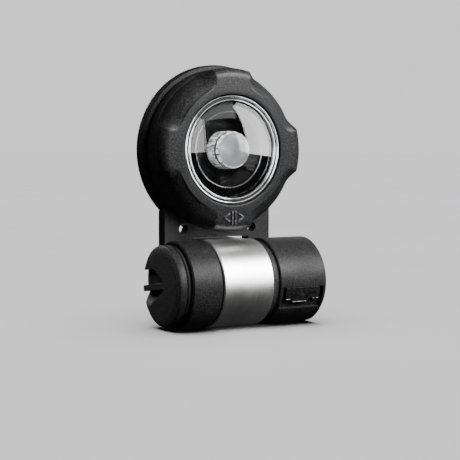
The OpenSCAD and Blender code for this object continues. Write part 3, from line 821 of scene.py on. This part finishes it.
CAP_TURN = math.radians(-8)           # how far the closed cap's recess is turned
RIB_HALF = 0.75                       # half the thickness of the rib across the recess
CAP_R = 10.1                          # of the knob that shows
SKIRT_R = 9.68                        # of the skirt that goes into the barrel
SEAL_GROOVE_R = 9.1                   # under the O-ring
SKIRT_BORE_R = 8.75                   # of the skirt's inside
SKIRT_FROM = 2.4                      # where the skirt starts behind the face
PAST_RIM = 11.5                       # how far the cutters reach, past the knob's rim


def cap_point(station, u, v):
    """A point of the cap: u along its rib towards the rim, v across it."""
    y = u * math.cos(CAP_TURN) - v * math.sin(CAP_TURN)
    z = u * math.sin(CAP_TURN) + v * math.cos(CAP_TURN)
    return Vector((lens_x + station * MM, barrel_y + y * MM, barrel_z + z * MM))


def recess_cutter(corners, depth_at_rib, depth_at_edge):
    """Half of the finger recess: its outline, and a floor that slopes away from the rib."""
    outline = rounded(corners, 8)
    edge = max(abs(v) for _, v in outline)
    n = len(outline)
    points = [cap_point(cap_face - 1, u, v) for u, v in outline]
    for u, v in outline:
        share = (abs(v) - RIB_HALF) / (edge - RIB_HALF)
        depth = depth_at_rib + (depth_at_edge - depth_at_rib) * share
        points.append(cap_point(cap_face + depth, u, v))
    faces = grid_faces(2, n) + [tuple(range(n)), tuple(range(n, 2 * n))]
    return add_mesh("cutter", points, faces)


def make_cap():
    """Battery cap: chamfered face with a recess on both sides of a rib, and its skirt."""
    f = cap_face
    skirt = f + SKIRT_FROM
    groove_front = skirt + 0.08
    groove_back = groove_front + 1.05
    floor = f + 2.75
    outline = [
        # the face, its chamfer and the knob's side
        (0.0, f), (8.25, f), (8.45, f + 0.02), (9.0, f + 0.17), (9.7, f + 0.38), (9.98, f + 0.56),
        (CAP_R, f + 0.85), (CAP_R, f + 2.2), (10.05, f + 2.33), (9.95, skirt),
        # the skirt with the groove of its O-ring
        (SKIRT_R, skirt), (SKIRT_R, groove_front), (SEAL_GROOVE_R, groove_front),
        (SEAL_GROOVE_R, groove_back), (SKIRT_R, groove_back), (SKIRT_R, cap_end - 0.3),
        # its end and its inside
        (9.5, cap_end), (SKIRT_BORE_R, cap_end), (SKIRT_BORE_R, floor), (0.0, floor),
    ]
    cap = turned("battery_end_cap", outline, barrel_point)
    upper = [(PAST_RIM, RIB_HALF, 0), (-1.9, RIB_HALF, 0.2), (-1.0, 1.9, 0.8), (3.0, 4.6, 2.0),
             (PAST_RIM, 4.6, 0)]
    lower = [(PAST_RIM, -RIB_HALF, 0), (-1.8, -RIB_HALF, 0.2), (-0.9, -1.7, 0.6),
             (3.9, -3.5, 1.5), (5.6, -4.5, 0.6), (PAST_RIM, -4.3, 0)]
    cutters = [recess_cutter(upper, 1.9, 1.7), recess_cutter(lower, 2.3, 0.0)]
    for cutter in cutters:
        cut = cap.modifiers.new("cut", "BOOLEAN")
        cut.operation = "DIFFERENCE"
        cut.solver = "EXACT"
        cut.object = cutter
    depsgraph = bpy.context.evaluated_depsgraph_get()
    mesh = bpy.data.meshes.new_from_object(cap.evaluated_get(depsgraph))
    cap.modifiers.clear()
    cap.data = mesh
    mesh.set_sharp_from_angle(angle=math.radians(32))
    for cutter in cutters:
        bpy.data.objects.remove(cutter)
    settle(cap, "cap", "cap", cap_skin, "battery_cap")


# ---- slide ----------------------------------------------------------------------------

SLIDE_TURN = math.radians(110)        # the slide lies 20 degrees below the barrel's front
SLIDE_R = 10.86                       # of its outer face, about the barrel's axis
RIDGE_R = 0.13                        # half the thickness of a ridge
# first and last station from the slide's middle, and how far below its middle line
RIDGES = ((-2.8, 1.5, 1.05), (-4.8, -3.4, 0.3), (3.1, 3.8, 0.3), (4.3, 4.8, 0.3))


def make_slide_ridges():
    """Ridges along the lower edges of the slide's plate and thumb tab, coloured light grey as a
    painted highlight.
    """
    sides = 10
    points = []
    faces = []
    for start, end, below in RIDGES:
        turn = SLIDE_TURN + math.asin(below / SLIDE_R)
        # station, and share of the ridge's full thickness there
        spine = [(start, 0.3), (start + 0.06, 0.8), (start + 0.15, 1.0), (end - 0.15, 1.0),
                 (end - 0.06, 0.8), (end, 0.3)]
        base = len(points)
        for station, share in spine:
            for j in range(sides):
                a = 2 * math.pi * j / sides
                r = SLIDE_R + RIDGE_R * share * math.cos(a)
                along = RIDGE_R * share * math.sin(a) / SLIDE_R
                points.append(barrel_point(r, slide_middle + station, turn + along))
        quads = grid_faces(len(spine), sides)
        last = sides * (len(spine) - 1)
        ends = [tuple(range(sides)), tuple(range(last, last + sides))]
        faces += [tuple(i + base for i in face) for face in quads + ends]
    ridges = add_mesh("slide_ridges", points, faces)
    settle(ridges, "slide", "slide", ridge_highlight_skin)


make_bezel()
make_index_mark()
make_slide_ridges()
make_bright_ring()
make_lens()
make_cup()
make_optic()
make_sleeve()
make_cap()


# ---- studio ---------------------------------------------------------------------------

def direction(azimuth, elevation):
    """Unit vector towards that azimuth, 0 in front of the lens, and elevation, in degrees."""
    a = math.radians(azimuth)
    e = math.radians(elevation)
    return Vector((math.sin(a) * math.cos(e), -math.cos(a) * math.cos(e), math.sin(e)))


def aim(obj, target):
    """Turn a camera or light to look at a point."""
    obj.rotation_euler = (target - obj.location).to_track_quat("-Z", "Y").to_euler()


LAMP_MIDDLE = (0, 0, 0.035)           # what the softboxes look at


def softbox(name, azimuth, elevation, distance, width, height, power, receivers, level=False):
    """A rectangular light in that direction, for the objects of one collection.

    It looks at the middle of the lamp, or straight ahead where it is level.
    """
    target = Vector(LAMP_MIDDLE)
    data = bpy.data.lights.new(name, "AREA")
    data.shape = "RECTANGLE"
    data.size = width
    data.size_y = height
    data.energy = power
    light = bpy.data.objects.new(name, data)
    bpy.context.scene.collection.objects.link(light)
    light.location = target + direction(azimuth, elevation) * distance
    if level:
        target.z = light.location.z
    aim(light, target)
    light.light_linking.receiver_collection = receivers


def make_floor():
    """Large pale matt disc, very slightly uneven in tone."""
    s = Surface("pale_floor", Specular_IOR_Level=0.0)
    cloud = s.noise(9, 3)
    tint = s.mix(s.spread(cloud, 0, 1), (0.60, 0.60, 0.61), (0.63, 0.63, 0.64))
    material = s.wire(Base_Color=tint, Roughness=s.spread(cloud, 0.8, 0.9))
    rings_r = [0.0, 0.4, 1.2, 3.0, 8.0, 40.0]
    sides = 64
    points = []
    for r in rings_r:
        for j in range(sides):
            a = 2 * math.pi * j / sides
            points.append(Vector((r * math.cos(a), r * math.sin(a), 0)))
    floor = add_mesh("floor", points, grid_faces(len(rings_r), sides))
    floor.data.materials.append(material)
    # the lamp's gloss shows the dark studio and its softboxes, not the floor
    floor.visible_glossy = False
    floor.visible_diffuse = False
    floor.visible_transmission = False


SURROUNDINGS = 0.03                   # brightness of the dark studio round the lamp
BACKDROP = 1.2                        # and of the pale backdrop that the camera sees


def make_world():
    """Dim even studio surroundings in front of a pale backdrop."""
    world = bpy.data.worlds.new("studio")
    bpy.context.scene.world = world
    world.use_nodes = True
    tree = world.node_tree
    dim = tree.nodes["Background"]
    dim.inputs["Color"].default_value = (0.80, 0.81, 0.83, 1)
    dim.inputs["Strength"].default_value = SURROUNDINGS
    backdrop = tree.nodes.new("ShaderNodeBackground")
    backdrop.inputs["Color"].default_value = (0.86, 0.865, 0.87, 1)
    backdrop.inputs["Strength"].default_value = BACKDROP
    seen = tree.nodes.new("ShaderNodeLightPath")
    mix = tree.nodes.new("ShaderNodeMixShader")
    tree.links.new(seen.outputs["Is Camera Ray"], mix.inputs[0])
    tree.links.new(dim.outputs[0], mix.inputs[1])
    tree.links.new(backdrop.outputs[0], mix.inputs[2])
    tree.links.new(mix.outputs[0], tree.nodes["World Output"].inputs["Surface"])


def group(name, members):
    """A collection of objects that one set of lights is linked to."""
    collection = bpy.data.collections.new(name)
    for obj in members:
        collection.objects.link(obj)
    return collection


make_floor()
make_world()

# the photo lights the glass, the bezel, the barrel and the cap differently, so do the softboxes
OPTIC = ("domed_lens", "bright_ring", "gloss_cup", "cup_edge", "led_optic", "post_sleeve",
         "sleeve_band")
FACE = ("rotary_bezel", "index_mark")
REAR = ("rear_cover", "cover_screws", "strap_clip", "clip_screws")
shapes = [obj for obj in bpy.context.scene.objects if obj.type == "MESH"]
optic = group("optic", [obj for obj in shapes if obj.name in OPTIC])
glass = group("glass", [obj for obj in optic.objects if obj.name != "led_optic"])
shell = group("shell", [obj for obj in shapes if obj.name not in OPTIC + ("floor",)])
face = group("face", [obj for obj in shapes if obj.name in FACE])
band = group("band", [obj for obj in shapes if obj.name == "knuckle_band"])
rear = group("rear", [obj for obj in shapes if obj.name in REAR])
cap = group("cap", [obj for obj in shapes if obj.name == "battery_end_cap"])
rest = group("rest", [obj for obj in shell.objects if obj.name not in FACE])
ground = group("ground", [obj for obj in shapes if obj.name == "floor"])

# the two big windows that the lens and its ring reflect
softbox("optic_key", 81, 29, 0.60, 0.82, 0.64, 16, glass, level=True)
softbox("optic_left", -57, 26, 0.60, 1.18, 0.58, 11.5, optic, level=True)
softbox("optic_top", 10, 62, 0.55, 0.50, 0.56, 1.2, optic)
# the bezel: one small light from the upper right, and faint ones at its sides
softbox("face_key", 31, 38, 0.13, 0.08, 0.05, 0.38, face)
softbox("face_right", 98, 24, 0.50, 0.40, 0.36, 0.06, face)
softbox("face_left", -80, 30, 0.28, 0.16, 0.10, 0.07, face)
# the bright stripe along the barrel, from in front and above on the right
softbox("rest_key", 29, 28, 0.24, 0.17, 0.12, 1.15, rest)
softbox("rest_right", 98, 24, 0.50, 0.40, 0.36, 0.8, rest)
softbox("rest_left", -80, 40, 0.28, 0.26, 0.16, 0.12, rest)
softbox("band_fill", 26, 12, 0.24, 0.17, 0.12, 0.55, band)
softbox("band_high", 29, 42, 0.24, 0.17, 0.08, 0.35, band)
# the battery cap's face looks left, away from the lights on the barrel
softbox("cap_key", -80, 48, 0.26, 0.22, 0.14, 0.62, cap)
softbox("cap_behind", -165, 28, 0.30, 0.12, 0.10, 0.26, cap)
# low light on the back, which the photo doesn't show
softbox("behind", 178, 25, 0.42, 0.40, 0.24, 0.06, shell)
softbox("behind_right", 125, 10, 0.42, 0.30, 0.24, 0.3, rest)
softbox("rear_key", 165, 30, 0.35, 0.30, 0.24, 2.0, rear)

# soft light from straight above, for the floor only
sun = bpy.data.lights.new("floor_light", "SUN")
sun.energy = 5.1
sun.angle = math.radians(70)
floor_light = bpy.data.objects.new("floor_light", sun)
bpy.context.scene.collection.objects.link(floor_light)
floor_light.light_linking.receiver_collection = ground

# ---- camera ---------------------------------------------------------------------------

VIEW_AZIMUTH = -30.15
VIEW_ELEVATION = 3.54
VIEW_DISTANCE = 0.3243
LOOK_AT = Vector((0.0004, -0.0009, 0.0240))
FOCAL_LENGTH = 99.4
SHIFT_X = 0.0108
SHIFT_Y = 0.0008

camera_data = bpy.data.cameras.new("camera")
camera_data.lens = FOCAL_LENGTH
camera_data.sensor_width = 36
camera_data.shift_x = SHIFT_X
camera_data.shift_y = SHIFT_Y
camera_data.clip_start = 0.01
camera = bpy.data.objects.new("camera", camera_data)
bpy.context.scene.collection.objects.link(camera)
camera.location = LOOK_AT + direction(VIEW_AZIMUTH, VIEW_ELEVATION) * VIEW_DISTANCE
aim(camera, LOOK_AT)
bpy.context.scene.camera = camera
